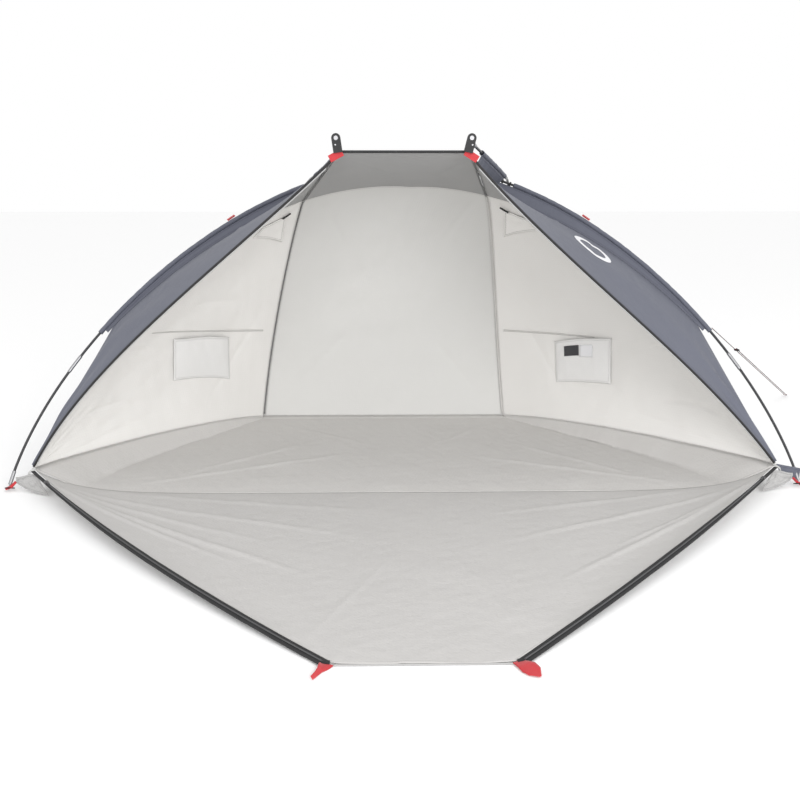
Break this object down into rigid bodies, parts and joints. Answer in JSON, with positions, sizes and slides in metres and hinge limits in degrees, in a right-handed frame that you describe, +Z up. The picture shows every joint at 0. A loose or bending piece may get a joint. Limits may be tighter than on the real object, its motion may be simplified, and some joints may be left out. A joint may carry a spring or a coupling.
{
  "type": "beach shelter with fibreglass poles",
  "caption": "Beach shelter: cloth canopy on a hoop pole and two crossing ridge poles, with a sewn-in floor, a zip-off front panel laid out as a mat, vents, pockets and a guy line.",
  "frame": {"origin": "middle of the fold line between the floor and the front mat, on the ground", "axes": "+X to the right as seen from the front, +Y to the rear, +Z up"},
  "size_m": [3.4381, 2.7131, 1.231],
  "materials": {
    "fibreglass": "satin resin-bonded glass-fibre rod",
    "pole_metal": "plain brushed tube",
    "black_plastic": "moulded, slightly satin",
    "zip_metal": "black enamel",
    "red_webbing": "woven webbing",
    "canopy_cloth": "coated polyester, plain weave, grey lining",
    "wall_cloth": "coated polyester, pale inside",
    "floor_cloth": "coated floor cloth, slightly creased",
    "zip_tape": "woven tape with a nylon coil",
    "mesh": "fine net",
    "cord": "braided cord, black with red flecks"
  },
  "bodies": {
    "shelter": {"hoop_rod_1": "fibreglass", "hoop_rod_2": "fibreglass", "hoop_rod_3": "fibreglass", "hoop_rod_4": "fibreglass", "hoop_rod_5": "fibreglass", "hoop_rod_6": "fibreglass", "hoop_rod_7": "fibreglass", "hoop_rod_8": "fibreglass", "hoop_ferrules": "pole_metal", "hoop_tip_left": "pole_metal", "hoop_tip_right": "pole_metal", "ridge_rod_left_front": "fibreglass", "ridge_rod_left_middle": "fibreglass", "ridge_rod_left_rear": "fibreglass", "ridge_rod_right_front": "fibreglass", "ridge_rod_right_middle": "fibreglass", "ridge_rod_right_rear": "fibreglass", "ridge_ferrules": "pole_metal", "ridge_tips": "pole_metal", "lug_rivets": "pole_metal", "top_tab_left": "red_webbing", "top_tab_right": "red_webbing", "crossing_clips": "black_plastic", "roof_panel": "canopy_cloth", "front_canopy_left": "canopy_cloth", "front_canopy_right": "canopy_cloth", "front_edge_tape": "zip_tape", "side_wall_left": "wall_cloth", "side_wall_right": "wall_cloth", "rear_wall": "wall_cloth", "hoop_sleeve_left": "canopy_cloth", "hoop_sleeve_right": "canopy_cloth", "sleeve_ties": "red_webbing", "ridge_sleeve_left": "canopy_cloth", "ridge_sleeve_right": "canopy_cloth", "rear_sleeve_left": "canopy_cloth", "rear_sleeve_right": "canopy_cloth", "floor_panel": "floor_cloth", "floor_lip_left": "floor_cloth", "floor_lip_right": "floor_cloth", "corner_gusset_left": "wall_cloth", "corner_gusset_right": "wall_cloth", "foot_straps": "red_webbing", "vent_meshes": "mesh", "pocket_left": "wall_cloth", "pocket_right": "wall_cloth", "guy_line": "cord", "guy_knot": "cord"},
    "door": {"door_panel": "floor_cloth", "zip_tape_left": "zip_tape", "zip_tape_right": "zip_tape", "stake_tab_left": "red_webbing", "stake_tab_right": "red_webbing"},
    "zip_slider_left": {"zip_slider_left": "zip_metal"},
    "zip_slider_right": {"zip_slider_right": "zip_metal"},
    "lug_left": {"lug_left": "black_plastic"},
    "lug_right": {"lug_right": "black_plastic"},
    "vent_flap_left": {"vent_flap_left": "wall_cloth"},
    "vent_flap_right": {"vent_flap_right": "wall_cloth"},
    "guy_slider": {"guy_slider": "black_plastic"}
  },
  "joints": [
    {"name": "door_hinge", "type": "hinge", "parent": "shelter", "child": "door", "pos_m": [0, -0.05, 0.001], "axis": [-1, 0, 0], "range_deg": [0, 85]},
    {"name": "zip_slider_left_travel", "type": "hinge", "parent": "door", "child": "zip_slider_left", "pos_m": [5.512, 5.10485, 0.036], "axis": [0.027, -0.0298, 0.9992], "range_deg": [0, 9.78]},
    {"name": "zip_slider_right_travel", "type": "hinge", "parent": "door", "child": "zip_slider_right", "pos_m": [-11.17124, 10.09415, 0.036], "axis": [0.027, 0.0301, -0.9992], "range_deg": [0, 5.16]},
    {"name": "lug_left_pivot", "type": "hinge", "parent": "shelter", "child": "lug_left", "pos_m": [-0.236, -0.022, 1.216], "axis": [0, 1, 0], "range_deg": [-8, 8]},
    {"name": "lug_right_pivot", "type": "hinge", "parent": "shelter", "child": "lug_right", "pos_m": [0.21, -0.022, 1.216], "axis": [0, 1, 0], "range_deg": [-8, 8]},
    {"name": "vent_flap_left_fold", "type": "hinge", "parent": "shelter", "child": "vent_flap_left", "pos_m": [-0.55358, 0.65866, 0.84418], "axis": [0.6443, 0.7518, -0.1406], "range_deg": [0, 110]},
    {"name": "vent_flap_right_fold", "type": "hinge", "parent": "shelter", "child": "vent_flap_right", "pos_m": [0.48537, 0.67088, 0.86681], "axis": [0.7364, -0.6553, 0.1682], "range_deg": [0, 110]},
    {"name": "guy_slider_travel", "type": "slide", "parent": "shelter", "child": "guy_slider", "axis": [0.553, 0.7519, -0.3588], "range_m": [0, 0.3]}
  ]
}
